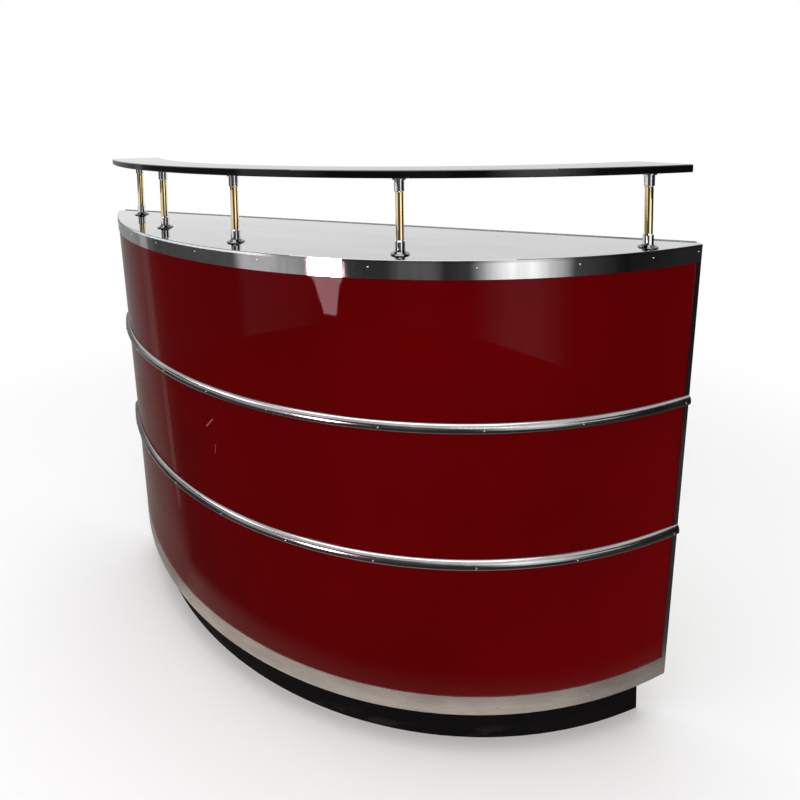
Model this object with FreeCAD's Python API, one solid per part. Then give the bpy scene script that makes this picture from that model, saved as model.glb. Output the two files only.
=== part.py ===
"""Curved-front home bar: leaning laminate body, mirror counter and a raised crescent of black glass.

Millimetres, +Z up. X runs along the bar, the curved front faces -Y and the straight open back +Y.
The origin is on the floor, midway along the bar and midway from front to back.
"""
import FreeCAD, Part
import os
from math import acos, asin, cos, degrees, radians, sin, sqrt

V = FreeCAD.Vector
UP = V(0, 0, 1)

# overall sizes
BODY_DEPTH = 318.0
HALF_WIDTH = 714.0
COUNTER_HEIGHT = 953.0
PLINTH_HEIGHT = 90.0
PLINTH_RECESS = 38.0
PLINTH_BACK_RECESS = 12.0

# the front is one bend of constant radius, set back evenly towards the floor
FRONT_LEAN = 52.0
END_LEAN = 43.0
END_WIDTH = 16.0
END_TAPER = 5.5

# heights of the metal on the front
TOP_BAND = 28.0
BOTTOM_BAND = 38.0
MOULDING_HEIGHT = 20.0
MOULDING_STAND = 8.0
LOWER_MOULDING_HEIGHT = 398.0
UPPER_MOULDING_HEIGHT = 657.0

# sheet and board thicknesses
TRIM = 1.0
LAMINATE = 2.0
PLYWOOD = 6.0
BOARD = 18.0
COUNTER_BOARD = 24.0
MIRROR_GLASS = 5.0
MIRROR_ARRIS = 0.8
STRIP_WIDTH = 11.0
EDGING = 3.0
EDGING_STAND = 1.5

# framing inside
RIB_DEPTH = 42.0
RIB_HEIGHT = 20.0
STUD_WIDTH = 32.0
STUD_DEPTH = 24.0
STUD_SHARES = (-0.72, -0.436, -0.142, 0.142, 0.436, 0.72)
STILE_WIDTH = 58.0
DIVIDER_SHARE = 0.336
SHELF_SET_IN = 24.0
CLEAT = 15.0
RAIL_HEIGHT = 58.0
CROSS_MEMBER_SHARES = (-0.56, -0.2, 0.2, 0.56)

# raised glass: width at its middle, and its tips and heels set in from the counter's ends
GLASS = 14.0
GLASS_ARRIS = 1.4
GLASS_SETBACK = 28.0
GLASS_WIDTH = 85.0
GLASS_TIP_INSET = 19.0
GLASS_TIP_FORWARD = 45.0
GLASS_HEEL_INSET = 108.0
GLASS_OVERHANG = 31.0
GLASS_CORNER = 7.0

# posts, placed by shares of the half width and set back from the front
POST_SHARES = (-0.832, -0.543, -0.179, 0.3025, 0.867)
POST_SETBACKS = (57.0, 60.0, 55.0, 41.0, 24.0)
POST_HEIGHT = 133.0
FLANGE_RADIUS = 17.0
FLANGE_THICKNESS = 2.6
FLANGE_COVE = 3.0
CUP_RADIUS = 9.4
CUP_HEIGHT = 25.0
CUP_CHAMFER = 1.5
CAP_HEIGHT = 23.0
CAP_DISC_RADIUS = 12.8
CAP_DISC = 2.2
TUBE_RADIUS = 7.5
TUBE_WALL = 1.0
SOCKET_DEPTH = 9.0
ROD_RADIUS = 4.0
ROD_TOP_GAP = 6.0
PAD_RADIUS = 11.0
PAD = 1.0
WASHER_RADIUS = 9.0
WASHER = 2.0
NUT_ACROSS_FLATS = 13.0
NUT_HEIGHT = 6.5
ROD_END = 5.0

# clearances
FIT = 0.2
ROD_CLEARANCE = 0.5
JOINT_GAP = 0.4
OVERRUN = 40.0

# worked out from the sizes above
MIRROR_BASE = COUNTER_HEIGHT - MIRROR_GLASS
BOARD_BASE = MIRROR_BASE - COUNTER_BOARD
BAND_BASE = MIRROR_BASE - TOP_BAND
BOTTOM_BAND_TOP = PLINTH_HEIGHT + BOTTOM_BAND
BASE_TOP = PLINTH_HEIGHT + BOARD
LEAN_HEIGHT = COUNTER_HEIGHT - PLINTH_HEIGHT
MOULDING_LEVELS = (LOWER_MOULDING_HEIGHT, UPPER_MOULDING_HEIGHT)
LAMINATE_FACE = TRIM + FIT
SKIN = LAMINATE_FACE + LAMINATE
PLYWOOD_FACE = SKIN + FIT
SHELL = PLYWOOD_FACE + PLYWOOD + FIT
BULGE = BODY_DEPTH - END_WIDTH
FRONT_RADIUS = (HALF_WIDTH ** 2 + BULGE ** 2) / (2 * BULGE)
END_ANGLE = degrees(asin(HALF_WIDTH / FRONT_RADIUS))
DIVIDER_X = DIVIDER_SHARE * HALF_WIDTH


def crescent():
    """Crescent of glass, laid out from the middle of the body's back edge."""
    front_middle = GLASS_SETBACK - BODY_DEPTH
    tip = HALF_WIDTH - GLASS_TIP_INSET, -GLASS_TIP_FORWARD
    heel = HALF_WIDTH - GLASS_HEEL_INSET, GLASS_OVERHANG
    arcs = []
    for middle, (x, y) in ((front_middle, tip), (front_middle + GLASS_WIDTH, heel)):
        points = [V(-x, y, 0), V(0, middle, 0), V(x, y, 0)]
        arcs.append((Part.Arc(*points).toShape(), points))
    (front, tips), (inner, heels) = arcs
    outline = [front, Part.makeLine(tips[2], heels[2]), inner, Part.makeLine(heels[0], tips[0])]
    glass = Part.Face(Part.Wire(outline)).extrude(V(0, 0, GLASS))
    corners = [edge for edge in glass.Edges if edge.BoundBox.ZLength > GLASS / 2]
    glass = glass.makeFillet(GLASS_CORNER, corners)
    rims = [edge for edge in glass.Edges if edge.BoundBox.ZLength < GLASS_ARRIS / 2]
    return glass.makeChamfer(GLASS_ARRIS, rims)


# the glass reaches a little behind the body, and the origin lies midway in the whole
BACK_Y = (BODY_DEPTH - crescent().optimalBoundingBox().YMax) / 2
FRONT_Y = BACK_Y - BODY_DEPTH
CENTRE_Y = FRONT_Y + FRONT_RADIUS
SWEEP = degrees(acos((CENTRE_Y - BACK_Y - OVERRUN) / FRONT_RADIUS))
SHELF_BASE = MOULDING_LEVELS[0] + RIB_HEIGHT / 2


def lean(level):
    """How far the front has set back at a height, measured from the counter."""
    return FRONT_LEAN * (COUNTER_HEIGHT - level) / LEAN_HEIGHT


def front_point(angle, depth, level, lean_level=None):
    """Point behind the front by a depth, at an angle from the middle of the bend."""
    reach = FRONT_RADIUS - depth
    centre = CENTRE_Y + lean(level if lean_level is None else lean_level)
    return V(reach * sin(radians(angle)), centre - reach * cos(radians(angle)), level)


def front_block(depth, low, high, lean_level=None, easing=0):
    """Solid behind the front by a depth, up to a chord past the back edge."""
    wires = []
    for level, away in ((low, depth), (high, depth + easing)):
        points = [front_point(angle, away, level, lean_level) for angle in (-SWEEP, 0, SWEEP)]
        wires.append(Part.Wire([Part.Arc(*points).toShape(), Part.makeLine(points[2], points[0])]))
    return Part.makeLoft(wires, True, True)


def wedge(end_inset, back_inset, low, high, easing=0):
    """Space between the two leaning end planes and the back plane, open in front.

    An easing draws its top in at the ends.
    """
    slope = END_TAPER / END_WIDTH
    back = BACK_Y - back_inset
    front = FRONT_Y - OVERRUN
    corner_y = BACK_Y - END_WIDTH
    wires = []
    for level, more in ((low, 0), (high, easing)):
        corner = HALF_WIDTH - END_LEAN * (COUNTER_HEIGHT - level) / LEAN_HEIGHT - end_inset - more
        at_back = corner - slope * (back - corner_y)
        at_front = corner + slope * (corner_y - front)
        wires.append(Part.makePolygon([V(-at_back, back, level), V(-at_front, front, level),
                                       V(at_front, front, level), V(at_back, back, level),
                                       V(-at_back, back, level)]))
    return Part.makeLoft(wires, True, True)


def d_board(depth, end_inset, back_inset, low, high):
    """D-shaped board cut to the front's curve, the ends and the back."""
    return front_block(depth, low, high).common(wedge(end_inset, back_inset, low, high))


def front_sheet(depth, thickness, low, high, end_inset=0.0, back_inset=0.0):
    """Sheet that follows the front's curve and lean from end to end."""
    sheet = d_board(depth, end_inset, back_inset, low, high)
    return sheet.cut(front_block(depth + thickness, low - OVERRUN, high + OVERRUN))


def wrapped_band(low, high):
    """Band round the front and both ends, open at the back."""
    inner = d_board(SKIN, SKIN, -OVERRUN, low - OVERRUN, high + OVERRUN)
    return d_board(0, 0, 0, low, high).cut(inner)


def moulding(level):
    """Half-round bead, bent to the front and seated on the laminate between the two ends."""
    low = level - MOULDING_HEIGHT / 2
    high = low + MOULDING_HEIGHT
    back = front_point(-SWEEP, SKIN, low, level), front_point(-SWEEP, SKIN, high, level)
    edge = front_point(-SWEEP, TRIM, low, level), front_point(-SWEEP, TRIM, high, level)
    crown = front_point(-SWEEP, TRIM - MOULDING_STAND, level)
    bead = Part.Arc(edge[0], crown, edge[1]).toShape()
    rest = [Part.makeLine(edge[1], back[1]), Part.makeLine(back[1], back[0]), Part.makeLine(back[0], edge[0])]
    bar = Part.Face(Part.Wire([bead] + rest)).revolve(V(0, CENTRE_Y + lean(level), 0), UP, 2 * SWEEP)
    bar = bar.common(wedge(0, 0, low - OVERRUN, high + OVERRUN))
    return bar.cut(front_block(TRIM, low - OVERRUN, high + OVERRUN))


def zones():
    """Heights of the three laminate zones, and of the clear fronts between the metal."""
    joints = [BOTTOM_BAND_TOP, *MOULDING_LEVELS, BAND_BASE]
    last = len(MOULDING_LEVELS)
    panels, clear = [], []
    for heights, shift in ((panels, JOINT_GAP / 2), (clear, MOULDING_HEIGHT / 2)):
        for index, (low, high) in enumerate(zip(joints, joints[1:])):
            heights.append((low + (shift if index else 0), high - (shift if index < last else 0)))
    return panels, clear


def mirrored(shape):
    """Left-hand twin of a right-hand piece."""
    return shape.mirror(V(0, 0, 0), V(1, 0, 0))


def right_half(shape):
    box = shape.BoundBox
    half = Part.makeBox(box.XMax + OVERRUN, box.YLength + OVERRUN, box.ZLength + OVERRUN)
    half.translate(V(0, box.YMin - OVERRUN / 2, box.ZMin - OVERRUN / 2))
    return shape.common(half)


def end_strips():
    """Right-hand aluminium angles over the front's edge and the end, in three lengths."""
    lengths = []
    for low, high in zones()[1]:
        inner = d_board(TRIM, SKIN, -OVERRUN, low - OVERRUN, high + OVERRUN)
        middle = wedge(STRIP_WIDTH, -OVERRUN, low - OVERRUN, high + OVERRUN)
        lengths.append(right_half(d_board(0, 0, 0, low, high).cut(inner).cut(middle)))
    return Part.makeCompound(lengths)


def back_stile():
    """Right-hand upright at the back edge, bevelled to the bent plywood."""
    stile = d_board(SHELL, SKIN, EDGING, BASE_TOP, BOARD_BASE)
    front = wedge(-OVERRUN, EDGING + BOARD, BASE_TOP - OVERRUN, BOARD_BASE + OVERRUN)
    middle = wedge(SKIN + STILE_WIDTH, -OVERRUN, BASE_TOP - OVERRUN, BOARD_BASE + OVERRUN)
    return right_half(stile.cut(front).cut(middle))


def rib(level):
    """Curved rib behind a moulding, from stile to stile."""
    low = level - RIB_HEIGHT / 2
    return front_sheet(SHELL, RIB_DEPTH, low, low + RIB_HEIGHT, SKIN, EDGING + BOARD)


def studs():
    """Leaning uprights between the base board, the ribs and the counter board."""
    stops = [BASE_TOP]
    for level in MOULDING_LEVELS:
        stops += [level - RIB_HEIGHT / 2, level + RIB_HEIGHT / 2]
    stops.append(BOARD_BASE)
    pieces = []
    for low, high in zip(stops[0::2], stops[1::2]):
        sheet = front_sheet(SHELL, STUD_DEPTH, low, high)
        for share in STUD_SHARES:
            slab = Part.makeBox(STUD_WIDTH, FRONT_RADIUS, high - low)
            slab.translate(V(-STUD_WIDTH / 2, CENTRE_Y - FRONT_RADIUS, low))
            slab.rotate(V(0, CENTRE_Y, 0), UP, share * END_ANGLE)
            pieces.append(sheet.common(slab))
    return pieces


def slab_x(centre, width, low, high):
    """Upright slab across the bar, for dividers and bays."""
    slab = Part.makeBox(width, BODY_DEPTH + OVERRUN, high - low)
    slab.translate(V(centre - width / 2, FRONT_Y - OVERRUN, low))
    return slab


def back_rail():
    """Rail under the counter board, between the stiles."""
    low = BOARD_BASE - RAIL_HEIGHT
    rail = wedge(SKIN + STILE_WIDTH, EDGING, low, BOARD_BASE)
    return rail.cut(wedge(-OVERRUN, EDGING + BOARD, low - OVERRUN, BOARD_BASE + OVERRUN))


def divider(place):
    """Upright between two bays, notched round the ribs and the back rail."""
    board = d_board(SHELL, 0, EDGING, BASE_TOP, BOARD_BASE).common(slab_x(place, BOARD, BASE_TOP, BOARD_BASE))
    notch = back_rail()
    for level in MOULDING_LEVELS:
        notch = notch.fuse(rib(level))
    return board.cut(notch)


def bay_shelf(bay):
    """Shelf of the left, middle or right bay (-1, 0, 1), lying on the lower rib and the cleats."""
    low, high = SHELF_BASE, SHELF_BASE + BOARD
    board = d_board(SHELL + STUD_DEPTH + FIT, SKIN, SHELF_SET_IN, low, high)
    near = BOARD / 2 + FIT
    if bay == 0:
        return board.common(slab_x(0, 2 * (DIVIDER_X - near), low, high))
    width = HALF_WIDTH - DIVIDER_X - near
    return board.common(slab_x(bay * (HALF_WIDTH - width / 2), width, low, high))


def shelf_cleats():
    """Battens on the dividers that carry the shelves level with the rib."""
    low = SHELF_BASE - CLEAT
    block = d_board(SHELL + RIB_DEPTH + FIT, 0, SHELF_SET_IN + CLEAT, low, SHELF_BASE)
    away = (BOARD + CLEAT) / 2
    places = [side * (DIVIDER_X + face) for side in (-1, 1) for face in (-away, away)]
    return [block.common(slab_x(place, CLEAT, low, SHELF_BASE)) for place in places]


def plinth_block(depth, more=0):
    """Upright D under the body, with the foot's own bend moved back."""
    block = front_block(depth, -more, PLINTH_HEIGHT + more, PLINTH_HEIGHT)
    block.translate(V(0, PLINTH_RECESS, 0))
    return block


def plinth_front():
    """Set-back curved board under the base board."""
    board = plinth_block(0).cut(plinth_block(BOARD, OVERRUN))
    return board.common(wedge(-OVERRUN, PLINTH_BACK_RECESS, 0, PLINTH_HEIGHT))


def plinth_back():
    """Straight rail between the curved board's two ends."""
    rail = plinth_block(BOARD).common(wedge(-OVERRUN, PLINTH_BACK_RECESS, 0, PLINTH_HEIGHT))
    return rail.cut(wedge(-OVERRUN, PLINTH_BACK_RECESS + BOARD, -OVERRUN, PLINTH_HEIGHT + OVERRUN))


def plinth_cross_members():
    """Bearers of the plinth, from its curved front to its back rail."""
    inner = plinth_block(BOARD).common(wedge(-OVERRUN, PLINTH_BACK_RECESS + BOARD, 0, PLINTH_HEIGHT))
    places = [share * HALF_WIDTH for share in CROSS_MEMBER_SHARES]
    return [inner.common(slab_x(place, BOARD, 0, PLINTH_HEIGHT)) for place in places]


def post_centres():
    """Middle of each post's foot on the counter."""
    centres = []
    for share, setback in zip(POST_SHARES, POST_SETBACKS):
        x = share * HALF_WIDTH
        centres.append(V(x, CENTRE_Y - sqrt((FRONT_RADIUS - setback) ** 2 - x ** 2), COUNTER_HEIGHT))
    return centres


def cylinder(place, radius, low, high):
    return Part.makeCylinder(radius, high - low, V(place.x, place.y, low))


def drilled(shape, radius, low, high):
    """Holes for the post rods through a board."""
    for place in post_centres():
        shape = shape.cut(cylinder(place, radius, low - OVERRUN, high + OVERRUN))
    return shape


def counter_board():
    board = d_board(PLYWOOD_FACE, SKIN, EDGING, BOARD_BASE, MIRROR_BASE)
    return drilled(board, ROD_RADIUS + ROD_CLEARANCE, BOARD_BASE, MIRROR_BASE)


def counter_mirror():
    """Silvered glass over board and band, its upper edge eased at the front and the ends."""
    eased = COUNTER_HEIGHT - MIRROR_ARRIS
    rim = front_block(0, eased, COUNTER_HEIGHT, easing=MIRROR_ARRIS)
    rim = rim.common(wedge(0, EDGING, eased, COUNTER_HEIGHT, easing=MIRROR_ARRIS))
    sheet = d_board(0, 0, EDGING, MIRROR_BASE, eased).fuse(rim).removeSplitter()
    return drilled(sheet, ROD_RADIUS + ROD_CLEARANCE, MIRROR_BASE, COUNTER_HEIGHT)


def back_edging():
    """Strip that covers the back edge of the board and stands a little above the mirror."""
    low, high = BAND_BASE, COUNTER_HEIGHT + EDGING_STAND
    strip = wedge(SKIN, 0, low, high)
    return strip.cut(wedge(-OVERRUN, EDGING, low - OVERRUN, high + OVERRUN))


def bar_shelf():
    """Crescent of black glass on the posts."""
    glass = crescent()
    glass.translate(V(0, BACK_Y, COUNTER_HEIGHT + POST_HEIGHT))
    return glass


def turned(place, profile):
    """Turning about a post's axis from radius and height pairs above the counter."""
    points = [V(place.x + radius, place.y, place.z + height) for radius, height in profile]
    return Part.Face(Part.makePolygon(points + points[:1])).revolve(place, UP, 360)


def post_base(place):
    """Round flange with a coved root, rising into the cup that holds the tube."""
    bore = ROD_RADIUS + FIT
    socket = CUP_HEIGHT - SOCKET_DEPTH
    profile = [(bore, 0), (FLANGE_RADIUS, 0), (FLANGE_RADIUS, FLANGE_THICKNESS / 2),
               (FLANGE_RADIUS - FLANGE_THICKNESS / 2, FLANGE_THICKNESS),
               (CUP_RADIUS + FLANGE_COVE, FLANGE_THICKNESS), (CUP_RADIUS, FLANGE_THICKNESS + FLANGE_COVE),
               (CUP_RADIUS, CUP_HEIGHT - CUP_CHAMFER), (CUP_RADIUS - CUP_CHAMFER, CUP_HEIGHT),
               (TUBE_RADIUS, CUP_HEIGHT), (TUBE_RADIUS, socket), (bore, socket)]
    return turned(place, profile)


def post_cap(place):
    """Upper cup and its thin disc, with a blind hole for the rod."""
    top = POST_HEIGHT - PAD
    low = top - CAP_HEIGHT
    socket = low + SOCKET_DEPTH
    bore = ROD_RADIUS + FIT
    blind = top - ROD_TOP_GAP + CAP_DISC / 2
    profile = [(0, top), (0, blind), (bore, blind), (bore, socket), (TUBE_RADIUS, socket), (TUBE_RADIUS, low),
               (CUP_RADIUS - CUP_CHAMFER, low), (CUP_RADIUS, low + CUP_CHAMFER), (CUP_RADIUS, top - CAP_DISC),
               (CAP_DISC_RADIUS, top - CAP_DISC), (CAP_DISC_RADIUS, top)]
    return turned(place, profile)


def post_tube(place):
    low = COUNTER_HEIGHT + CUP_HEIGHT - SOCKET_DEPTH
    high = COUNTER_HEIGHT + POST_HEIGHT - PAD - CAP_HEIGHT + SOCKET_DEPTH
    outer = cylinder(place, TUBE_RADIUS, low, high)
    return outer.cut(cylinder(place, TUBE_RADIUS - TUBE_WALL, low - OVERRUN, high + OVERRUN))


def post_rod(place):
    low = BOARD_BASE - WASHER - NUT_HEIGHT - ROD_END
    return cylinder(place, ROD_RADIUS, low, COUNTER_HEIGHT + POST_HEIGHT - PAD - ROD_TOP_GAP)


def post_pad(place):
    top = COUNTER_HEIGHT + POST_HEIGHT
    return cylinder(place, PAD_RADIUS, top - PAD, top)


def post_nut(place):
    """Washer and hexagon nut that pull the post down on the counter."""
    washer_top = BOARD_BASE
    nut_top = washer_top - WASHER
    washer = cylinder(place, WASHER_RADIUS, nut_top, washer_top)
    reach = NUT_ACROSS_FLATS / 2 / cos(radians(30))
    corners = [V(place.x + reach * cos(radians(60 * turn)), place.y + reach * sin(radians(60 * turn)),
                 nut_top - NUT_HEIGHT) for turn in range(7)]
    nut = Part.Face(Part.makePolygon(corners)).extrude(V(0, 0, NUT_HEIGHT))
    hole = cylinder(place, ROD_RADIUS, BOARD_BASE - OVERRUN, BOARD_BASE + OVERRUN)
    return [washer.cut(hole), nut.cut(hole)]


def subparts():
    """Every node's name and shape."""
    group = Part.makeCompound
    yield "plinth_front", plinth_front()
    yield "plinth_back", plinth_back()
    yield "plinth_cross_members", group(plinth_cross_members())
    yield "base_board", d_board(SHELL, SKIN, EDGING, PLINTH_HEIGHT, BASE_TOP)
    yield "front_plywood", front_sheet(PLYWOOD_FACE, PLYWOOD, PLINTH_HEIGHT, BOARD_BASE, SKIN, EDGING)
    yield "bottom_band", wrapped_band(PLINTH_HEIGHT, BOTTOM_BAND_TOP)
    yield "top_band", wrapped_band(BAND_BASE, MIRROR_BASE)
    for name, (low, high) in zip(("lower", "middle", "upper"), zones()[0]):
        yield "red_panel_" + name, front_sheet(LAMINATE_FACE, LAMINATE, low, high, SKIN)
    for name, level in zip(("lower", "upper"), MOULDING_LEVELS):
        yield "moulding_" + name, moulding(level)
        yield "rib_" + name, rib(level)
    yield "front_studs", group(studs())
    for name, shape in (("end_strips", end_strips()), ("back_stile", back_stile())):
        yield name + "_right", shape
        yield name + "_left", mirrored(shape)
    yield "divider_left", divider(-DIVIDER_X)
    yield "divider_right", divider(DIVIDER_X)
    for name, bay in (("left", -1), ("centre", 0), ("right", 1)):
        yield "shelf_" + name, bay_shelf(bay)
    yield "shelf_cleats", group(shelf_cleats())
    yield "counter_back_rail", back_rail()
    yield "counter_board", counter_board()
    yield "counter_mirror", counter_mirror()
    yield "counter_back_edging", back_edging()
    for number, place in enumerate(post_centres(), 1):
        yield f"post_base_{number}", post_base(place)
        yield f"post_tube_{number}", post_tube(place)
        yield f"post_cap_{number}", post_cap(place)
    yield "post_rods", group([post_rod(place) for place in post_centres()])
    yield "post_nuts", group([solid for place in post_centres() for solid in post_nut(place)])
    yield "post_pads", group([post_pad(place) for place in post_centres()])
    yield "bar_shelf", bar_shelf()


os.makedirs("parts", exist_ok=True)
for node, solid in subparts():
    solid.exportStep(f"parts/{node}.step")
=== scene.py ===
"""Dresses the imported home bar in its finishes, adds its nails and screws, and sets a studio round it."""
import math

import bmesh
import bpy
from mathutils import Matrix, Vector


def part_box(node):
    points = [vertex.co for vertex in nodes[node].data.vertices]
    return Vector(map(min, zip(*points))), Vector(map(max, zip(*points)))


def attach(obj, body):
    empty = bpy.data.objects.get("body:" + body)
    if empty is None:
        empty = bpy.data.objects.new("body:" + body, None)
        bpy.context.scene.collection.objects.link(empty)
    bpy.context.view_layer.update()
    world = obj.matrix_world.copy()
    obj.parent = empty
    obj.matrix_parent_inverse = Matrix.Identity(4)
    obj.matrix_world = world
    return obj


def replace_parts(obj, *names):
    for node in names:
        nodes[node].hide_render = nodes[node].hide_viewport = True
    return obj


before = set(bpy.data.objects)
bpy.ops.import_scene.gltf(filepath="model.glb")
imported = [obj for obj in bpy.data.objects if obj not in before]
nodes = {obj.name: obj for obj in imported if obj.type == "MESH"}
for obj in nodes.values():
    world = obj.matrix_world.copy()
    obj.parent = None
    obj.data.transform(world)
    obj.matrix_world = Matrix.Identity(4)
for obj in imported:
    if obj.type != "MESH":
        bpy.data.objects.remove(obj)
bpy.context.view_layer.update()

# Plinth: a set-back curved board, a straight rail and bearers under the body.
# Softwood and plywood, brushed over with matt black paint that is scuffed along the floor.


class Socket:
    """An output of a shader node; sums and products of it add Math nodes."""

    def __init__(self, network, output):
        self.network, self.output = network, output

    def maths(self, operation, *values):
        return self.network.node("Math", {"operation": operation}, *values)

    def __add__(self, other):
        return self.maths("ADD", self, other)

    def __sub__(self, other):
        return self.maths("SUBTRACT", self, other)

    def __rsub__(self, other):
        return self.maths("SUBTRACT", other, self)

    def __mul__(self, other):
        return self.maths("MULTIPLY", self, other)

    def __truediv__(self, other):
        return self.maths("DIVIDE", self, other)

    def __rtruediv__(self, other):
        return self.maths("DIVIDE", other, self)

    def __mod__(self, other):
        return self.maths("FLOORED_MODULO", self, other)

    def __rmod__(self, other):
        return self.maths("FLOORED_MODULO", other, self)

    def __abs__(self):
        return self.maths("ABSOLUTE", self)

    __radd__, __rmul__ = __add__, __mul__

    def root(self):
        return self.maths("SQRT", self)

    def larger(self, other):
        return self.maths("MAXIMUM", self, other)

    def turn_from(self, other):
        """Angle whose tangent is this value over the other."""
        return self.maths("ARCTAN2", self, other)

    def step(self, start, end, low=0.0, high=1.0):
        """Smooth change from low to high while the value goes from start to end."""
        settings = {"interpolation_type": "SMOOTHSTEP"}
        return self.network.node("MapRange", settings, self, start, end, low, high)


class Network:
    """The shader nodes of a finish or of the world."""

    def __init__(self, tree):
        self.tree = tree

    def node(self, kind, settings, *values, output=0, **named):
        """Makes a node: its settings first, or a ramp's stops, then its sockets, in order or by name."""
        made = self.tree.nodes.new("ShaderNode" + kind)
        for key, value in settings.items():
            if key == "stops":
                stops = made.color_ramp.elements
                while len(stops) < len(value):
                    stops.new(1.0)
                for stop, (position, colour) in zip(stops, value):
                    stop.position = position
                    stop.color = colour
            else:
                setattr(made, key, value)
        sockets = [socket for socket in made.inputs if socket.enabled]
        for socket, value in [*zip(sockets, values), *((made.inputs[key], named[key]) for key in named)]:
            if isinstance(value, Socket):
                self.tree.links.new(value.output, socket)
            else:
                socket.default_value = value
        outputs = [socket for socket in made.outputs if socket.enabled]
        return Socket(self, outputs[output] if isinstance(output, int) else made.outputs[output])


class Finish(Network):
    """A material on one surface shader, with what varies it over the piece."""

    def __init__(self, name, **steady):
        self.material = bpy.data.materials.new(name)
        self.material.use_nodes = True
        super().__init__(self.material.node_tree)
        self.shader = self.tree.nodes["Principled BSDF"]
        self.fed = {}
        for key, value in steady.items():
            self.shader.inputs[key.replace("_", " ")].default_value = value
        self.place = self.node("TexCoord", {}, output="Object")
        self.x, self.y, self.z = (self.node("SeparateXYZ", {}, self.place, output=axis) for axis in "XYZ")

    def mix(self, share, low, high):
        """Colour between two, each a socket or its red, green and blue."""
        low, high = (tone if isinstance(tone, Socket) else (*tone, 1) for tone in (low, high))
        return self.node("Mix", {"data_type": "RGBA", "clamp_factor": True}, share, low, high)

    def noise(self, place, stretch, detail=3.0, rough=0.5):
        """Noise whose cells are as small as stretch says, in cycles per metre along each axis."""
        scaled = self.node("VectorMath", {"operation": "MULTIPLY"}, place, stretch)
        return self.node("TexNoise", {}, scaled, 1.0, detail, rough)

    def set(self, name, value):
        self.fed[name] = value
        self.tree.links.new(value.output, self.shader.inputs[name])

    def bump(self, height, distance, strength=1.0):
        self.set("Normal", self.node("Bump", {}, Strength=strength, Distance=distance, Height=height))


def dress(finish, *names):
    """Gives the finish to nodes of the frame."""
    for name in names:
        for slot in nodes[name].material_slots:
            slot.material = finish.material


PAINT_BLACK = (0.0022, 0.002, 0.0021)
PAINT_SCUFFED = (0.026, 0.023, 0.021)
SCUFFED_BELOW = 0.035

black_paint = Finish("black_paint", Specular_IOR_Level=0.05)
grime = black_paint.noise(black_paint.place, (9.0, 9.0, 30.0), 5.0, 0.6)
scuffs = grime.step(0.56, 0.66) * black_paint.z.step(0.004, SCUFFED_BELOW, 1.0, 0.0)
black_paint.set("Base Color", black_paint.mix(scuffs * 0.5, PAINT_BLACK, PAINT_SCUFFED))
black_paint.set("Roughness", grime.step(0.3, 0.7, 0.5, 0.66))
brush_marks = black_paint.noise(black_paint.place, (14.0, 14.0, 700.0), 2.0)
black_paint.bump(brush_marks, 0.0003, 0.35)
dress(black_paint, "plinth_front", "plinth_back", "plinth_cross_members")

# Boards and framing: base board, ribs, uprights, stiles, dividers, shelves, rail and cleats.
# Sawn and planed softwood and veneered boards, glued and screwed, grain along each piece.


def timber(name, pale, dark, stretch, rings, gloss=0.45):
    """Wood whose fibres run along the axis with the smallest stretch."""
    finish = Finish(name, Specular_IOR_Level=0.35)
    drift = finish.noise(finish.place, tuple(0.12 * share for share in stretch), 3.0)
    growth = finish.noise(finish.place, tuple(0.3 * share for share in stretch), 2.0)
    bands = ((growth + drift * 0.5) * rings % 1.0).step(0.1, 0.95)
    fibres = finish.noise(finish.place, tuple(3.2 * share for share in stretch), 4.0, 0.65)
    darkness = bands * 0.55 + fibres * 0.6
    finish.set("Base Color", finish.mix(darkness.step(0.25, 0.95), pale, dark))
    finish.set("Roughness", fibres.step(0.3, 0.7, gloss, gloss + 0.18))
    finish.bump(fibres, 0.0002, 0.5)
    return finish


ALONG_BAR = (2.2, 34.0, 34.0)
UPRIGHT = (34.0, 34.0, 2.2)
VENEER_GLOSS = 0.32

shelf_wood = timber("shelf_wood", (0.43, 0.26, 0.135), (0.24, 0.125, 0.055), ALONG_BAR, 5.0, VENEER_GLOSS)
divider_wood = timber("divider_wood", (0.42, 0.25, 0.13), (0.235, 0.12, 0.055), UPRIGHT, 5.0, VENEER_GLOSS)
rail_wood = timber("rail_wood", (0.58, 0.42, 0.25), (0.46, 0.30, 0.165), ALONG_BAR, 3.0)
stud_wood = timber("stud_wood", (0.60, 0.43, 0.25), (0.43, 0.27, 0.135), UPRIGHT, 4.0)
dress(shelf_wood, "shelf_left", "shelf_centre", "shelf_right", "base_board")
dress(divider_wood, "divider_left", "divider_right", "back_stile_left", "back_stile_right")
dress(rail_wood, "rib_lower", "rib_upper", "shelf_cleats", "counter_back_rail", "counter_board")
dress(stud_wood, "front_studs")

# Bent shell behind the laminate: thin plywood nailed to the ribs and uprights.
# Pale birch faces with upright grain, and the plies showing on its cut edges.

BEND_RADIUS = 0.995
BEND_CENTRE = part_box("counter_mirror")[0].y + BEND_RADIUS
COUNTER_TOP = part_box("counter_mirror")[1].z
LEAN_HEIGHT = COUNTER_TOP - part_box("bottom_band")[0].z
FRONT_LEAN = 0.052 / LEAN_HEIGHT
PLIES_PER_METRE = 830.0
PLIES_TO_DEPTH = -0.0076


def bend_places(finish):
    """Length along the bend, and how far a point lies in front of the body's face."""
    behind = (finish.z * -FRONT_LEAN) + (BEND_CENTRE + FRONT_LEAN * COUNTER_TOP) - finish.y
    reach = (finish.x * finish.x + behind * behind).root()
    return finish.x.turn_from(behind) * BEND_RADIUS, reach - BEND_RADIUS


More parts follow.
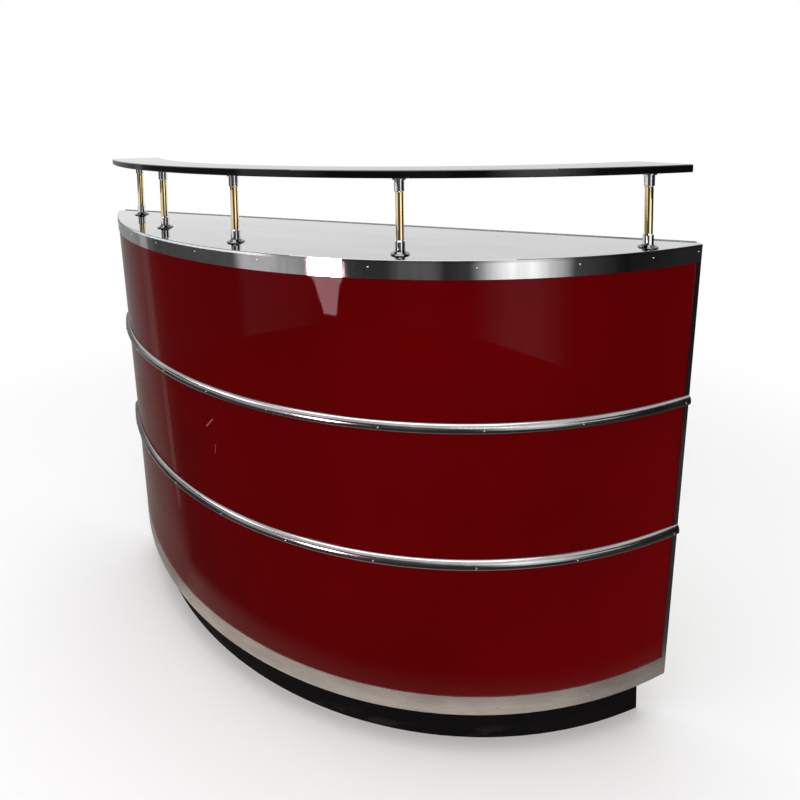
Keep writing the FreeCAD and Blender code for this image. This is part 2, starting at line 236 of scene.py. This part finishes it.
birch = timber("birch_ply", (0.62, 0.47, 0.30), (0.54, 0.39, 0.235), (26.0, 26.0, 1.0), 2.2)
depth = bend_places(birch)[1]
glue_lines = abs((depth * PLIES_PER_METRE) % 1.0 - 0.5).step(0.2, 0.3)
glue_lines = glue_lines * depth.step(PLIES_TO_DEPTH, PLIES_TO_DEPTH + 0.0006)
birch.set("Base Color", birch.mix(glue_lines * 0.55, birch.fed["Base Color"], (0.36, 0.21, 0.11)))
dress(birch, "front_plywood")

# Laminate panels: three bands of burgundy high-gloss laminate, glued to the bent shell.
# Deep even colour under a clear hard face, with faint waves, dust and two short scratches.


def on_bend(finish):
    """Place vector that follows the bend: length along it, depth and height."""
    length, proud = bend_places(finish)
    return finish.node("CombineXYZ", {}, length, proud, finish.z)


def scratch(finish, length, start, end, width):
    """Mask of a fine straight scratch between two places, each a length along the bend and a height."""
    run = Vector(end) - Vector(start)
    unit = run.normalized()
    across = length - start[0], finish.z - start[1]
    along = across[0] * unit.x + across[1] * unit.y
    off = abs(across[0] * unit.y - across[1] * unit.x)
    ends = along.step(0.0, 0.002) * along.step(run.length - 0.004, run.length, 1.0, 0.0)
    return off.step(width / 2, width, 1.0, 0.0) * ends


BURGUNDY_DEEP = (0.075, 0.0003, 0.0008)
BURGUNDY = (0.096, 0.0004, 0.0011)
LONG_SCRATCH = ((-0.204, 0.573), (-0.180, 0.597), 0.0016)
SHORT_SCRATCH = ((-0.180, 0.541), (-0.183, 0.519), 0.0012)

laminate = Finish("burgundy_laminate", Specular_IOR_Level=0.075)
bent = on_bend(laminate)
length = bend_places(laminate)[0]
cloud = laminate.noise(bent, (2.4, 1.0, 1.6), 3.0)
burgundy = laminate.mix(cloud.step(0.3, 0.7), BURGUNDY_DEEP, BURGUNDY)
marks = scratch(laminate, length, *LONG_SCRATCH) + scratch(laminate, length, *SHORT_SCRATCH) * 0.7
dust = laminate.noise(bent, (420.0, 420.0, 420.0), 1.0).step(0.80, 0.84)
laminate.set("Base Color", laminate.mix(marks * 0.45 + dust * 0.05, burgundy, (0.42, 0.20, 0.21)))
haze = laminate.noise(bent, (30.0, 30.0, 22.0), 5.0, 0.6)
laminate.set("Roughness", haze.step(0.35, 0.75, 0.025, 0.06) + marks * 0.3)
waves = laminate.noise(bent, (6.0, 6.0, 3.0), 2.0)
laminate.bump(waves, 0.0006, 0.25)
dress(laminate, "red_panel_lower", "red_panel_middle", "red_panel_upper")

# Top band: aluminium sheet round the front and both ends of the counter, buffed bright.
# It is slightly wavy where it was pulled round the bend, with hairlines along it.

BRIGHT_ALUMINIUM = (0.90, 0.90, 0.91)
PATINA_AND_REFLECTION_SHARE = 0.74

band_metal = Finish("polished_band", Metallic=1.0)
bent = on_bend(band_metal)
streaks = band_metal.noise(bent, (60.0, 4.0, 5.0), 4.0, 0.6)
patina = band_metal.noise(bent, (16.0, 10.0, 14.0), 4.0)
# The colour darkens in upright streaks, partly polishing marks and partly a painted reflection of the room,
# and in patches of patina.
tone = streaks.step(0.3, 0.72) * 0.5 + patina.step(0.35, 0.7) * 0.5
darker = tuple(PATINA_AND_REFLECTION_SHARE * part for part in BRIGHT_ALUMINIUM)
band_metal.set("Base Color", band_metal.mix(tone, darker, BRIGHT_ALUMINIUM))
band_metal.set("Roughness", streaks.step(0.3, 0.75, 0.035, 0.0735))
swell = band_metal.noise(bent, (11.0, 2.0, 3.0), 2.0)
hairlines = band_metal.noise(bent, (12.0, 40.0, 1500.0), 2.0)
band_metal.bump(swell * 0.55 + hairlines * 0.006, 0.001)
dress(band_metal, "top_band")

# Mouldings: two half-round beads drawn from aluminium, bent to the front and pinned on.
# Buffed bright once and grown softly dull, sawn off flush with the leaning ends.

HALF_WIDTH = 0.714
END_WIDTH = 0.016
EDGING_THICKNESS = 0.003
END_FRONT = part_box("counter_mirror")[1].y - (END_WIDTH - EDGING_THICKNESS)
END_SLOPE = 0.0055 / END_WIDTH
END_LEAN = 0.043 / LEAN_HEIGHT
HALF_MOULDING = 0.010
MOULDING_LEVELS = {which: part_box("moulding_" + which)[0].z + HALF_MOULDING for which in ("lower", "upper")}
BEAD_ROUND = 0.01025
BEAD_CENTRE = BEND_RADIUS - 0.00325
BEAD_SEAT = BEND_RADIUS - 0.001
BEAD_SWEEP = math.radians(47.5)


def finished(name, mesh, finish, smooth=True):
    """Puts a new piece on the bar, with its place in its mesh."""
    made = bpy.data.meshes.new(name)
    mesh.to_mesh(made)
    mesh.free()
    made.materials.append(finish.material)
    made.polygons.foreach_set("use_smooth", [smooth] * len(made.polygons))
    made.set_sharp_from_angle(angle=math.radians(40))
    piece = bpy.data.objects.new(name, made)
    bpy.context.scene.collection.objects.link(piece)
    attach(piece, "root")
    return piece


def points_among(parts):
    return [part for part in parts if isinstance(part, bmesh.types.BMVert)]


def saw(mesh, place, outward):
    """Cuts a mesh with a plane, drops what lies outside it and returns the points of the cut."""
    parts = mesh.verts[:] + mesh.edges[:] + mesh.faces[:]
    cut = bmesh.ops.bisect_plane(mesh, geom=parts, plane_co=place, plane_no=outward, clear_outer=True)
    return points_among(cut["geom_cut"])


def fill_openings(mesh):
    bmesh.ops.holes_fill(mesh, edges=[edge for edge in mesh.edges if edge.is_boundary])


def bend_axis(level):
    """Centre of the bend at a height."""
    return Vector((0, BEND_CENTRE + FRONT_LEAN * (COUNTER_TOP - level), level))


def end_corner(side, level):
    """Where the bent front meets the body's end at a height."""
    return Vector((side * (HALF_WIDTH - END_LEAN * (COUNTER_TOP - level)), END_FRONT, level))


def end_outward(side):
    return Vector((side, END_SLOPE, -END_LEAN))


DULL_ALUMINIUM = (0.34, 0.345, 0.35)
SOFT_ALUMINIUM = (0.47, 0.475, 0.48)

bead_metal = Finish("polished_bead", Metallic=1.0)
dulled = bead_metal.noise(on_bend(bead_metal), (5.0, 5.0, 5.0), 4.0, 0.6)
bead_metal.set("Base Color", bead_metal.mix(dulled.step(0.35, 0.7), DULL_ALUMINIUM, SOFT_ALUMINIUM))
bead_metal.set("Roughness", dulled.step(0.3, 0.7, 0.15, 0.22))
for which, level in MOULDING_LEVELS.items():
    axis = bend_axis(level)
    swing = Matrix.Rotation(-BEAD_SWEEP, 4, "Z")
    stood_up = Matrix.Rotation(math.radians(90), 4, "Z") @ Matrix.Rotation(math.radians(90), 4, "X")
    set_off = Matrix.Translation(axis) @ swing @ Matrix.Translation((0, -BEAD_CENTRE, 0))
    bead = bmesh.new()
    bmesh.ops.create_circle(bead, segments=64, radius=BEAD_ROUND)
    bmesh.ops.transform(bead, matrix=set_off @ stood_up, verts=bead.verts[:])
    back_of_bead = saw(bead, axis + swing @ Vector((0, -BEAD_SEAT, 0)), swing @ Vector((0, 1, 0)))
    bead.edges.new(back_of_bead)
    bmesh.ops.spin(bead, geom=bead.edges[:] + bead.verts[:], cent=axis, axis=(0, 0, 1),
                   angle=2 * BEAD_SWEEP, steps=190)
    for side in (-1, 1):
        saw(bead, end_corner(side, level), end_outward(side))
    fill_openings(bead)
    bmesh.ops.recalc_face_normals(bead, faces=bead.faces[:])
    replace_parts(finished("bead_" + which, bead, bead_metal), "moulding_" + which)

# End strips: narrow aluminium angles over the laminate's edges, in three lengths up each end.
# The same drawn metal as the beads, folded round the corner and pinned. A short tab, shaped like
# the strip below it, fills the gap between two lengths at each moulding.

TAB_HEIGHT = 0.0199
TAB_THICKNESS = 0.0012
TAB_FRONT_THICKNESS = 0.0016
TAB_CUT_BELOW = 0.0101
TAB_JOINT = 0.00015
CORNER_TURN = math.radians(45)
WELD = 0.00002

dress(bead_metal, "end_strips_left", "end_strips_right")
for side, hand in ((-1, "left"), (1, "right")):
    outward = end_outward(side).normalized()
    radial = Vector((side * math.sin(CORNER_TURN), -math.cos(CORNER_TURN), 0))
    tabs = bmesh.new()
    for level in MOULDING_LEVELS.values():
        tab = bmesh.new()
        tab.from_mesh(nodes["end_strips_" + hand].data)
        bmesh.ops.remove_doubles(tab, verts=tab.verts[:], dist=WELD)
        top = level - TAB_CUT_BELOW
        cuts = (
            ((0, 0, top), (0, 0, 1)),
            ((0, 0, top - TAB_HEIGHT), (0, 0, -1)),
            (end_corner(side, top) - TAB_THICKNESS * outward, -outward),
            (bend_axis(top) + (BEND_RADIUS - TAB_FRONT_THICKNESS) * radial, radial),
        )
        for place, direction in cuts:
            saw(tab, place, direction)
            fill_openings(tab)
        lift = TAB_HEIGHT + TAB_JOINT
        bmesh.ops.translate(tab, verts=tab.verts[:], vec=(side * END_LEAN * lift, -FRONT_LEAN * lift, lift))
        single = bpy.data.meshes.new("tab")
        tab.to_mesh(single)
        tab.free()
        tabs.from_mesh(single)
        bpy.data.meshes.remove(single)
    bmesh.ops.recalc_face_normals(tabs, faces=tabs.faces[:])
    finished("end_tabs_" + hand, tabs, bead_metal, smooth=False)

# Bottom band: wider aluminium strip round the foot, left satin.
# Long brushed lines, dulled and scuffed by shoes, and a little warm in colour as a painted reflection of the
# floor.

# All three tones are a little warm, a painted reflection of the floor.
SATIN_WORN = (0.68, 0.625, 0.575)
SATIN = (0.93, 0.88, 0.83)
SATIN_SCUFFED = (0.42, 0.38, 0.35)

satin = Finish("satin_band", Metallic=1.0)
bent = on_bend(satin)
brushing = satin.noise(bent, (2.5, 60.0, 1100.0), 3.0, 0.6)
dulling = satin.noise(bent, (7.0, 7.0, 26.0), 5.0, 0.62)
rubbed = satin.mix(dulling.step(0.3, 0.72), SATIN_WORN, SATIN)
scuffed = satin.noise(bent, (26.0, 26.0, 60.0), 5.0, 0.7).step(0.60, 0.72)
satin.set("Base Color", satin.mix(scuffed * 0.35, rubbed, SATIN_SCUFFED))
satin.set("Roughness", brushing.step(0.3, 0.7, 0.26, 0.42))
satin.bump(brushing * 0.25 + satin.noise(bent, (14.0, 3.0, 8.0), 2.0) * 0.5, 0.0008)
dress(satin, "bottom_band")

# Nails: small domed pins through the bands and the beads.
# Bright steel, at the places along the front where they are seen.

NAIL_RISE = 0.0009
BEAD_NAIL_STAND = 0.0078
TOP_NAILS_LEVEL = 0.9395
FOOT_NAILS_LEVEL = 0.1030


def on_front(angle, height, proud):
    """Stands a small piece on the front, its own +Z pointing outwards."""
    turn = math.radians(angle)
    outward = Vector((math.sin(turn), -math.cos(turn), -FRONT_LEAN * math.cos(turn))).normalized()
    reach = BEND_RADIUS + proud
    place = bend_axis(height) + Vector((reach * math.sin(turn), -reach * math.cos(turn), 0))
    return Matrix.Translation(place) @ outward.to_track_quat("Z", "Y").to_matrix().to_4x4()


def domes(name, places, radius, rise, finish):
    """Low domed heads at matrices that give each one's place and direction."""
    heads = bmesh.new()
    for place in places:
        made = bmesh.ops.create_uvsphere(heads, u_segments=16, v_segments=8, radius=radius)
        squash = Matrix.Diagonal((1, 1, rise / radius, 1))
        bmesh.ops.transform(heads, matrix=place @ squash, verts=made["verts"])
    finished(name, heads, finish)


nail_steel = Finish("nail_steel", Metallic=1.0, Roughness=0.16)
worn = nail_steel.noise(nail_steel.place, (700.0, 700.0, 700.0), 2.0)
nail_steel.set("Base Color", nail_steel.mix(worn, (0.62, 0.61, 0.60), (0.86, 0.86, 0.86)))
nail_rows = (
    ("nails_top_band", TOP_NAILS_LEVEL, 0.0, 0.0018,
     (-35.5, -27.0, -19.0, -11.0, -2.0, 10.2, 20.6, 30.7, 39.0, 45.3)),
    ("nails_bottom_band", FOOT_NAILS_LEVEL, 0.0, 0.0019,
     (-40.0, -29.5, -19.0, -9.2, -1.2, 12.4, 22.0, 32.0, 41.9)),
    ("nails_moulding_upper", MOULDING_LEVELS["upper"], BEAD_NAIL_STAND, 0.0016,
     (-38.0, -28.5, -19.5, -10.6, -1.8, 10.6, 21.0, 31.0, 43.65)),
    ("nails_moulding_lower", MOULDING_LEVELS["lower"], BEAD_NAIL_STAND, 0.0016,
     (-37.0, -28.0, -19.0, -9.8, -0.5, 9.5, 20.0, 30.5, 42.5)),
)
for name, height, proud, radius, angles in nail_rows:
    places = [on_front(angle, height, proud) for angle in angles]
    domes(name, places, radius, NAIL_RISE, nail_steel)

# Counter: silvered mirror glass on the board, and the slim strip behind it.
# A painted highlight runs along part of its front edge, and its ground rim is painted dark further right as
# a painted dark reflection; the strip is pale with a sea-green upper edge.

ARRIS = 0.0008
MIRROR_SILVER = (0.485, 0.485, 0.50)
MIRROR_WIPED = (0.53, 0.53, 0.545)

mirror = Finish("counter_mirror", Metallic=1.0)
edge = mirror.z.step(COUNTER_TOP - ARRIS - 0.0003, COUNTER_TOP - ARRIS, 1.0, 0.0)
arris = mirror.z.step(COUNTER_TOP - 0.0002, COUNTER_TOP - 0.00005, 1.0, 0.0) - edge
wiped = mirror.noise(mirror.place, (5.0, 16.0, 5.0), 5.0, 0.6)
silver = mirror.mix(wiped.step(0.35, 0.7), MIRROR_SILVER, MIRROR_WIPED)
# Painted dark reflection: the ground rim turns near black from the left part rightwards.
ground = mirror.mix(mirror.x.step(-0.50, -0.38), silver, (0.13, 0.13, 0.135))
# Painted highlight: a pale, less metallic band along the front edge, between the left part and the middle.
painted_highlight_rim = edge * mirror.x.step(-0.52, -0.40) * mirror.x.step(-0.04, 0.02, 1.0, 0.0)
rimmed = mirror.mix(edge, mirror.mix(arris, silver, ground), (0.60, 0.62, 0.62))
mirror.set("Base Color", mirror.mix(painted_highlight_rim, rimmed, (0.86, 0.90, 0.90)))
mirror.set("Metallic", 1 - painted_highlight_rim * 0.8)
mirror.set("Roughness", wiped.step(0.35, 0.75, 0.012, 0.045) + edge * 0.02)
dress(mirror, "counter_mirror")

EDGING_PALE = (0.78, 0.81, 0.80)
EDGING_SOILED = (0.72, 0.755, 0.74)
SEA_GREEN = (0.10, 0.165, 0.155)

edging = Finish("pale_edging", Specular_IOR_Level=0.5)
upper_edge = edging.z.step(COUNTER_TOP + 0.0001, COUNTER_TOP + 0.0004)
soil = edging.noise(edging.place, (26.0, 26.0, 120.0), 4.0)
pale = edging.mix(soil.step(0.4, 0.75), EDGING_PALE, EDGING_SOILED)
edging.set("Base Color", edging.mix(upper_edge, pale, SEA_GREEN))
edging.set("Roughness", soil.step(0.3, 0.7, 0.18, 0.34))
dress(edging, "counter_back_edging")

# Posts: chromed brass turnings with a flange below and a disc above, round a polished brass tube.
# The rod inside pulls each post down on the counter by a nut and washer under the board. The tubes
# are turned again here with more sides, so that what they reflect is drawn smoothly.

PAINTED_DARK_FLANGE_TOP = 0.0068
TUBE_WALL = 0.001

chrome = Finish("chrome", Metallic=1.0)
film = chrome.noise(chrome.place, (90.0, 90.0, 240.0), 4.0)
clean = chrome.mix(film.step(0.35, 0.7), (0.66, 0.66, 0.68), (0.83, 0.83, 0.85))
# Painted dark reflection: the chrome flange just above the counter is painted near black, as if it mirrored
# a dark room.
painted_dark_flange = chrome.z.step(COUNTER_TOP + PAINTED_DARK_FLANGE_TOP - 0.001, COUNTER_TOP + PAINTED_DARK_FLANGE_TOP, 0.95, 0.0)
chrome.set("Base Color", chrome.mix(painted_dark_flange, clean, (0.11, 0.11, 0.115)))
chrome.set("Roughness", film.step(0.3, 0.75, 0.02, 0.04))
brass = Finish("brass_tube", Metallic=1.0)
tarnish = brass.noise(brass.place, (60.0, 60.0, 30.0), 4.0)
brass.set("Base Color", brass.mix(tarnish.step(0.35, 0.7), (0.78, 0.60, 0.31), (0.92, 0.77, 0.48)))
brass.set("Roughness", tarnish.step(0.3, 0.7, 0.018, 0.03))
zinc = Finish("zinc_steel", Metallic=1.0)
spangle = zinc.noise(zinc.place, (300.0, 300.0, 300.0), 3.0)
zinc.set("Base Color", zinc.mix(spangle, (0.46, 0.47, 0.48), (0.70, 0.71, 0.71)))
zinc.set("Roughness", spangle.step(0.3, 0.7, 0.26, 0.42))
pad = Finish("clear_pad", Roughness=0.4)
cloudy = pad.noise(pad.place, (200.0, 200.0, 200.0), 2.0)
pad.set("Base Color", pad.mix(cloudy, (0.50, 0.50, 0.48), (0.70, 0.70, 0.67)))
dress(zinc, "post_rods", "post_nuts")
dress(pad, "post_pads")
for number in range(1, 6):
    dress(chrome, f"post_base_{number}", f"post_cap_{number}")
    low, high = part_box(f"post_tube_{number}")
    axis, outer = (low + high) / 2, (high.x - low.x) / 2
    tube = bmesh.new()
    for radius in (outer, outer - TUBE_WALL):
        bmesh.ops.create_circle(tube, segments=96, radius=radius)
    foot = bmesh.ops.bridge_loops(tube, edges=tube.edges[:])["faces"]
    raised = bmesh.ops.extrude_face_region(tube, geom=foot, use_keep_orig=True)["geom"]
    bmesh.ops.translate(tube, verts=points_among(raised), vec=(0, 0, high.z - low.z))
    bmesh.ops.translate(tube, verts=tube.verts[:], vec=(axis.x, axis.y, low.z))
    bmesh.ops.recalc_face_normals(tube, faces=tube.faces[:])
    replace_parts(finished(f"brass_tube_{number}", tube, brass), f"post_tube_{number}")

# Raised shelf: a crescent of solid black glass, polished on top with ground arrises.
# Smooth and deep black, with faint wipe marks and a little dust on its upper face.

GLASS_BLACK = (0.0022, 0.0022, 0.003)
GLASS_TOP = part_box("bar_shelf")[1].z

glass = Finish("black_glass", Specular_IOR_Level=0.5)
wipes = glass.noise(glass.place, (7.0, 22.0, 7.0), 5.0, 0.6)
on_top = glass.z.step(GLASS_TOP - 0.0006, GLASS_TOP - 0.0002)
motes = glass.noise(glass.place, (600.0, 600.0, 600.0), 1.0).step(0.80, 0.84) * on_top
glass.set("Base Color", glass.mix(motes * 0.4, GLASS_BLACK, (0.20, 0.20, 0.19)))
glass.set("Roughness", wipes.step(0.4, 0.75, 0.015, 0.05))
dress(glass, "bar_shelf")

# Screws: countersunk heads that hold the stiles, rail and plinth together at the back.
# Zinc-plated steel with a slot, each turned its own way.

SCREW_RADIUS = 0.0042
SCREW_RISE = 0.0007
SLOT_DEPTH = 0.0005
SLOT_SHARE = 0.12
STILE_FOOT_MIDDLE = 0.633
STILE_LEAN = 0.043 / 0.842
RAIL_SCREW_RISE = 0.030
PLINTH_SCREW_LEVEL = 0.045


def slotted_screws(name, places, radius):
    """Flat heads at matrices, each with a driver slot across its face."""
    head = bmesh.new()
    disc = bmesh.ops.create_circle(head, cap_ends=True, segments=24, radius=radius)["verts"]
    raised = bmesh.ops.extrude_face_region(head, geom=[disc[0].link_faces[0]])["geom"]
    bmesh.ops.translate(head, verts=points_among(raised), vec=(0, 0, SCREW_RISE))
    for offset in (-SLOT_SHARE * radius, SLOT_SHARE * radius):
        parts = head.verts[:] + head.edges[:] + head.faces[:]
        bmesh.ops.bisect_plane(head, geom=parts, plane_co=(0, offset, 0), plane_no=(0, 1, 0))
    slot = [face for face in head.faces
            if face.normal.z > 0.9 and abs(face.calc_center_median().y) < SLOT_SHARE * radius]
    sunk = bmesh.ops.extrude_face_region(head, geom=slot)["geom"]
    bmesh.ops.delete(head, geom=slot, context="FACES_ONLY")
    bmesh.ops.translate(head, verts=points_among(sunk), vec=(0, 0, -SLOT_DEPTH))
    bmesh.ops.recalc_face_normals(head, faces=head.faces[:])
    single = bpy.data.meshes.new("screw")
    head.to_mesh(single)
    head.free()
    heads = bmesh.new()
    for place in places:
        before = len(heads.verts)
        heads.from_mesh(single)
        bmesh.ops.transform(heads, matrix=place, verts=heads.verts[before:])
    bpy.data.meshes.remove(single)
    finished(name, heads, zinc, smooth=False)


def facing_back(x, y, z, turn):
    """A place on a face that looks backwards, turned about its own axis."""
    face_out = Matrix.Rotation(math.radians(-90), 4, "X")
    return Matrix.Translation((x, y, z)) @ face_out @ Matrix.Rotation(math.radians(turn), 4, "Z")


stile_low, stile_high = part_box("back_stile_right")
rail_low, rail_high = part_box("counter_back_rail")
plinth_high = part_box("plinth_back")[1]
rail_level = rail_low.z + RAIL_SCREW_RISE
back_screws = []
for side in (-1, 1):
    for share, turn in ((0.06, 20), (0.30, 75), (0.60, 130), (0.94, 50)):
        rise = share * (stile_high.z - stile_low.z)
        middle = side * (STILE_FOOT_MIDDLE + STILE_LEAN * rise)
        back_screws.append(facing_back(middle, stile_high.y, stile_low.z + rise, turn + 11 * side))
    for share, turn in ((0.12, 15), (0.42, 100), (0.78, 60)):
        back_screws.append(facing_back(side * share * rail_high.x, rail_high.y, rail_level, turn * side))
    for share, turn in ((0.24, 35), (0.69, 85)):
        along = side * share * plinth_high.x
        back_screws.append(facing_back(along, plinth_high.y, PLINTH_SCREW_LEVEL, turn * side))
slotted_screws("screws_back", back_screws, SCREW_RADIUS)

# Studio floor: a plain pale disc, bare round the bar and as bright as the surround further out.
# It takes the bar's soft shadow.


def stage_piece(name, mesh, finish):
    made = bpy.data.meshes.new(name)
    mesh.to_mesh(made)
    mesh.free()
    made.materials.append(finish.material)
    piece = bpy.data.objects.new(name, made)
    bpy.context.scene.collection.objects.link(piece)
    return piece


def pale_rays(network):
    """One for what is seen directly, in a polished face or through glass."""
    seen, mirrored, through = (network.node("LightPath", {}, output=f"Is {kind} Ray")
                               for kind in ("Camera", "Glossy", "Transmission"))
    return seen.larger(mirrored).larger(through)


def end_in(finish, shader):
    """Makes a stage material's surface the given shader."""
    finish.tree.links.new(shader.output, finish.tree.nodes["Material Output"].inputs["Surface"])


floor = Finish("pale_floor")
far = (floor.x * floor.x + floor.y * floor.y).root().step(0.85, 2.4)
bare = floor.node("BsdfDiffuse", {}, (0.93, 0.93, 0.93, 1))
glow = floor.node("Emission", {}, (1, 1, 1, 1), 1.0)
end_in(floor, floor.node("MixShader", {}, far * pale_rays(floor), bare, glow))
ground = bmesh.new()
bmesh.ops.create_circle(ground, cap_ends=True, segments=64, radius=40.0)
stage_piece("floor", ground, floor)

# Studio cards: a tall curved one of dark and pale greys, a dark one on the floor, two pale strips
# and a bright one, all plain. They stand round the bar and show only in what is polished.

ROOM_RADIUS = 1.75
ROOM_HEIGHT = 1.45
ROOM_LOW_HEIGHT = 1.06
ROOM_LOW_BEYOND = math.radians(-80)
ROOM_SPREAD = 130.0
# Bearings in degrees from straight in front of the bar, each with the tall card's grey there.
room_tones = (
    (-130, 0.32), (-102, 0.28), (-93, 0.22), (-92, 0.36), (-89, 0.36), (-88, 0.12), (-82, 0.06), (-48, 0.08),
    (-44, 0.52), (-24, 0.36), (-14, 0.04), (8, 0.03), (12, 0.10), (24, 0.10), (27, 0.025), (36, 0.05),
    (48, 1.15), (56, 1.1), (67, 0.06), (80, 0.008), (96, 0.02), (130, 0.012),
)


def glowing_card(name, mesh, finish, colour, strength=1.0):
    """A stage piece that shines evenly in its colour, for glossy reflections only."""
    end_in(finish, finish.node("Emission", {}, colour, strength))
    card = stage_piece(name, mesh, finish)
    for ray in ("camera", "diffuse", "transmission", "volume_scatter", "shadow"):
        setattr(card, "visible_" + ray, False)


def curved_card(radius, start, end, low, high, steps):
    """An upright card bent round the middle of the floor, between two bearings in degrees."""
    start, end = math.radians(start), math.radians(end)
    card = bmesh.new()
    foot = card.verts.new((radius * math.sin(start), -radius * math.cos(start), low))
    head = card.verts.new((foot.co.x, foot.co.y, high))
    edge = card.edges.new((foot, head))
    bmesh.ops.spin(card, geom=[foot, head, edge], cent=(0, 0, 0), axis=(0, 0, 1),
                   angle=end - start, steps=steps)
    return card


def share_of_room(bearing):
    return (bearing + ROOM_SPREAD) / (2 * ROOM_SPREAD)


room = Finish("room")
bearing = room.x.turn_from(room.y * -1.0) * (180 / math.pi)
stops = [(share_of_room(angle), (level, level, level, 1)) for angle, level in room_tones]
wall = curved_card(ROOM_RADIUS, -ROOM_SPREAD, ROOM_SPREAD, 0.0, ROOM_HEIGHT, 96)
for corner in wall.verts:
    if corner.co.z > ROOM_LOW_HEIGHT and math.atan2(corner.co.x, -corner.co.y) < ROOM_LOW_BEYOND:
        corner.co.z = ROOM_LOW_HEIGHT
glowing_card("room", wall, room, room.node("ValToRGB", {"stops": stops}, share_of_room(bearing)))

# The card on the floor glows unevenly in painted light: paler at the left end, where its tones fan out from
# one place.
FAN_X = -0.40
FAN_Y = -0.09

cloth = Finish("dark_cloth")
to_axis = cloth.y - BEND_CENTRE
apart = (cloth.x * cloth.x + to_axis * to_axis).root() - BEND_RADIUS
fan = (cloth.y - FAN_Y) / (FAN_X - cloth.x)
left_side = fan.step(-0.18, 0.22) * cloth.x.step(-0.52, -0.44, 1.0, 0.0)
pale_streak = abs(fan - 0.015).step(0.022, 0.034, 1.0, 0.0) * cloth.x.step(-0.80, -0.74, 1.0, 0.0)
cloth_far = cloth.mix(left_side, (0.05, 0.048, 0.046), (0.28, 0.26, 0.24))
cloth_far = cloth.mix(pale_streak, cloth_far, (0.40, 0.36, 0.33))
cloth_near = cloth.mix(left_side, (0.46, 0.425, 0.39), (0.24, 0.22, 0.20))
cloth_near = cloth.mix(cloth.x.step(0.48, 0.66), cloth_near, (0.25, 0.23, 0.21))
rug = bmesh.new()
bmesh.ops.create_circle(rug, cap_ends=True, segments=96, radius=1.1 * ROOM_RADIUS)
bmesh.ops.translate(rug, verts=rug.verts[:], vec=(0, 0, 0.002))
glowing_card("cloth", rug, cloth, cloth.mix(apart.step(0.03, 0.08), cloth_near, cloth_far))

STRIP_RADIUS = 1.70
STRIP_FOOT = 0.66
STRIP_HEAD = 0.89

for name, start, end, strength in (("pale_strip_left", -88, -14, 0.9), ("pale_strip_right", 42, 76, 1.5)):
    strip = curved_card(STRIP_RADIUS, start, end, STRIP_FOOT, STRIP_HEAD, 40)
    glowing_card(name, strip, Finish(name), (0.95, 0.93, 0.88, 1), strength)

WINDOW_DISTANCE = 1.50
window_outline = (
    (-0.39, 0.16), (-0.262, 0.16), (-0.216, 0.315), (-0.185, 0.335), (-0.18, 0.60), (-0.525, 0.60),
    (-0.525, 0.335), (-0.48, 0.32),
)

window = bmesh.new()
window.faces.new([window.verts.new((x, -WINDOW_DISTANCE, z)) for x, z in window_outline])
glowing_card("window", window, Finish("window_light"), (1.0, 0.60, 0.68, 1), 27.0)

# Studio light: an even white surround, dimmer on the bar itself than where it is seen, and three
# wide soft lamps. The camera stands a little above the counter, in front and to the right.

LIGHT_ON_BAR = 0.58


def soft_lamp(name, place, target, width, power):
    lamp = bpy.data.lights.new(name, "AREA")
    lamp.shape, lamp.size, lamp.size_y, lamp.energy = "RECTANGLE", width, 0.6 * width, power
    stand = bpy.data.objects.new(name, lamp)
    bpy.context.scene.collection.objects.link(stand)
    aim = (Vector(target) - Vector(place)).to_track_quat("-Z", "Y")
    stand.matrix_world = Matrix.Translation(place) @ aim.to_matrix().to_4x4()


world = bpy.data.worlds.new("studio")
bpy.context.scene.world = world
world.use_nodes = True
surround = Network(world.node_tree)
brightness = surround.node("MapRange", {}, pale_rays(surround), 0.0, 1.0, LIGHT_ON_BAR, 1.0)
background = surround.tree.nodes["Background"]
background.inputs["Color"].default_value = (1, 1, 1, 1)
surround.tree.links.new(brightness.output, background.inputs["Strength"])
soft_lamp("lamp_right", (2.2, -2.8, 2.0), (0.3, 0.0, 0.75), 1.6, 58.0)
soft_lamp("lamp_left", (-2.6, -1.6, 2.4), (-0.2, 0.0, 0.6), 1.6, 18.0)
soft_lamp("lamp_above", (0.0, -0.3, 3.4), (0.0, 0.0, 0.5), 2.8, 46.0)

CAMERA_PLACE = (0.5273, -0.9240, 1.1678)
CAMERA_RIGHT = Vector((0.9353, 0.3534, -0.0141)).normalized()
CAMERA_FORWARD = Vector((-0.3535, 0.9329, -0.0683)).normalized()

camera = bpy.data.objects.new("camera", bpy.data.cameras.new("camera"))
bpy.context.scene.collection.objects.link(camera)
camera.data.sensor_width = 36.0
camera.data.lens = 23.08
camera.data.shift_y = -0.294
above = CAMERA_RIGHT.cross(CAMERA_FORWARD).normalized()
turned = Matrix((CAMERA_RIGHT, above, -CAMERA_FORWARD)).transposed().to_4x4()
camera.matrix_world = Matrix.Translation(CAMERA_PLACE) @ turned
bpy.context.scene.camera = camera
bpy.context.scene.view_settings.view_transform = "Standard"
